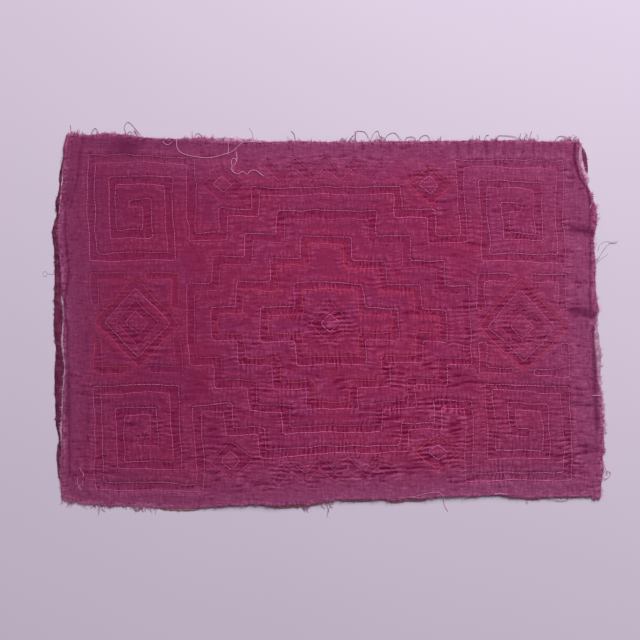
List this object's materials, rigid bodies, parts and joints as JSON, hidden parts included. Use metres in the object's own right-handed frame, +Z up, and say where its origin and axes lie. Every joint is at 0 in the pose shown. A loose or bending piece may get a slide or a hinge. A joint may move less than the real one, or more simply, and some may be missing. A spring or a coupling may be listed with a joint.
{
  "type": "mola panel",
  "caption": "Rectangular hand-sewn panel of layered cotton, lying face down, its plain back covered with lines of running stitch and puckers, with raw frayed edges.",
  "frame": {"origin": "under the middle of the panel, on the surface that it lies on", "axes": "+X along the long side, +Y across to the upper edge, +Z up from the surface, out of the back of the panel"},
  "size_m": [0.4301, 0.2929, 0.0047],
  "materials": {
    "base_cotton": "matt plain-woven cotton, wine magenta, washed",
    "middle_cotton": "matt plain-woven cotton, pale rose, frayed",
    "face_cotton": "matt plain-woven cotton, dark wine"
  },
  "bodies": {
    "root": {"base_cloth": "base_cotton", "middle_layer": "middle_cotton", "face_cloth": "face_cotton"}
  },
  "joints": []
}
